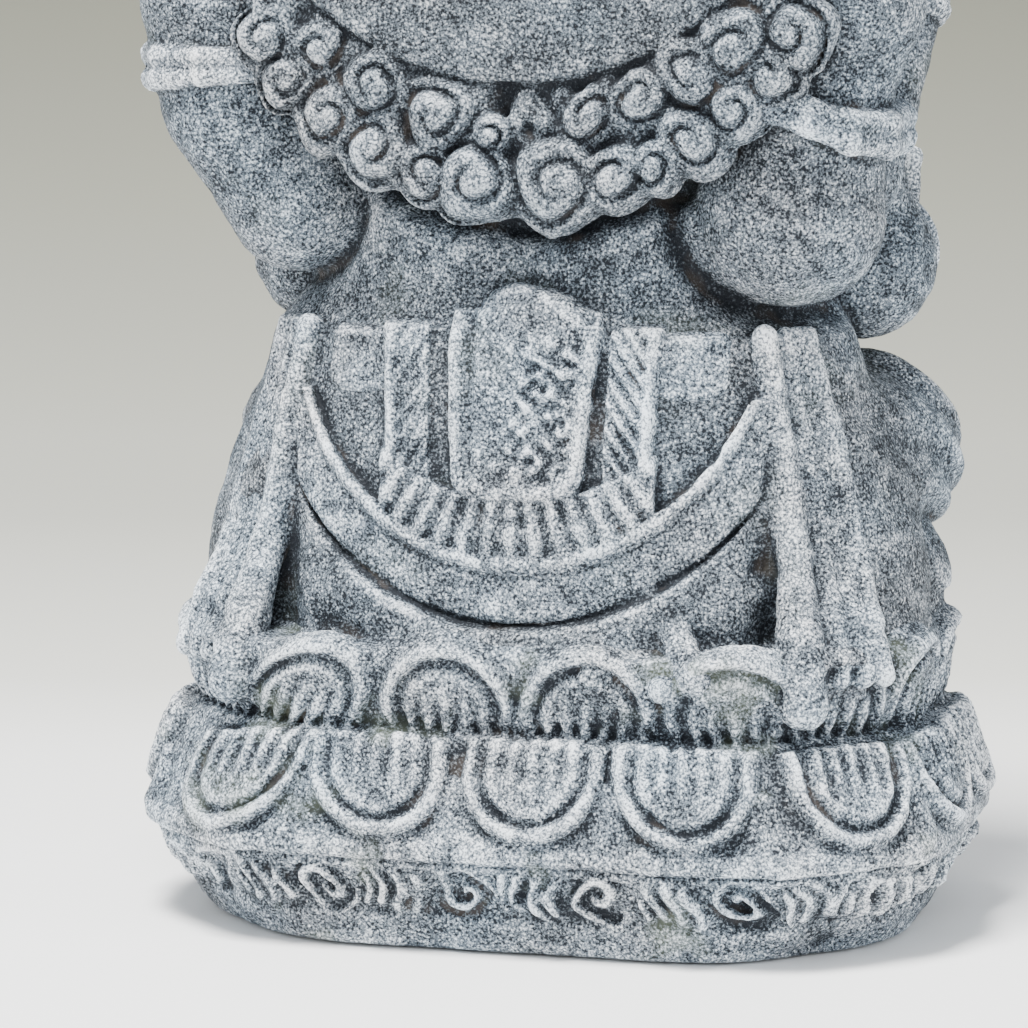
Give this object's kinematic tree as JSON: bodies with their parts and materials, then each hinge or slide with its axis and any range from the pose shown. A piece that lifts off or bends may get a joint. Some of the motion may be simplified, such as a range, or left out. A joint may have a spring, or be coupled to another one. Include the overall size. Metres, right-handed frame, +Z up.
{
  "type": "ganesha idol",
  "caption": "Seated four-armed elephant-headed deity in carved stone, with a round halo behind the head, on a two-row lotus seat and a low plinth.",
  "frame": {"origin": "bottom centre of the bounding box, in the plane the plinth stands on", "axes": "+Z up, -Y the way the idol faces, +X towards its left hand"},
  "size_m": [0.2234, 0.1552, 0.392],
  "materials": {
    "stone_base": "rough, eroded, traces of moss",
    "stone_figure": "pecked, salt and pepper grain",
    "stone_ornament": "pecked, high points rubbed pale",
    "stone_halo": "finely pecked"
  },
  "bodies": {
    "root": {"plinth": "stone_base", "plinth_moulding": "stone_base", "plinth_frieze": "stone_base", "lotus_core_lower": "stone_base", "lotus_core_upper": "stone_base", "lower_petals": "stone_base", "lower_petal_tips": "stone_base", "upper_petals": "stone_base", "hips": "stone_figure", "torso": "stone_figure", "belly": "stone_figure", "left_thigh": "stone_figure", "right_thigh": "stone_figure", "left_shin": "stone_figure", "right_shin": "stone_figure", "left_foot": "stone_figure", "right_foot": "stone_figure", "left_side_fall": "stone_ornament", "right_side_fall": "stone_ornament", "hip_sash": "stone_ornament", "sash_fringe": "stone_ornament", "back_panel": "stone_ornament", "panel_cords": "stone_ornament", "sash_knot": "stone_ornament", "hip_clasps": "stone_ornament", "sash_ends": "stone_ornament", "left_rear_upper_arm": "stone_figure", "right_rear_upper_arm": "stone_figure", "left_rear_forearm": "stone_figure", "right_rear_forearm": "stone_figure", "left_rear_hand": "stone_figure", "right_rear_hand": "stone_figure", "left_front_upper_arm": "stone_figure", "right_front_upper_arm": "stone_figure", "left_front_forearm": "stone_figure", "right_front_forearm": "stone_figure", "left_front_hand": "stone_figure", "right_front_hand": "stone_figure", "armlets": "stone_ornament", "bracelets": "stone_ornament", "anklets": "stone_ornament", "necklace": "stone_ornament", "sacred_thread": "stone_ornament", "hair_mantle": "stone_halo", "hair_curls_inner": "stone_halo", "hair_curls_outer": "stone_halo", "neck": "stone_figure", "head": "stone_figure", "trunk": "stone_figure", "left_ear": "stone_figure", "right_ear": "stone_figure", "left_tusk": "stone_figure", "right_tusk": "stone_figure", "crown_band": "stone_ornament", "crown_tiers": "stone_ornament", "crown_finial": "stone_ornament", "halo": "stone_halo", "axe": "stone_ornament", "noose": "stone_ornament", "sweets_bowl": "stone_ornament"}
  },
  "joints": []
}
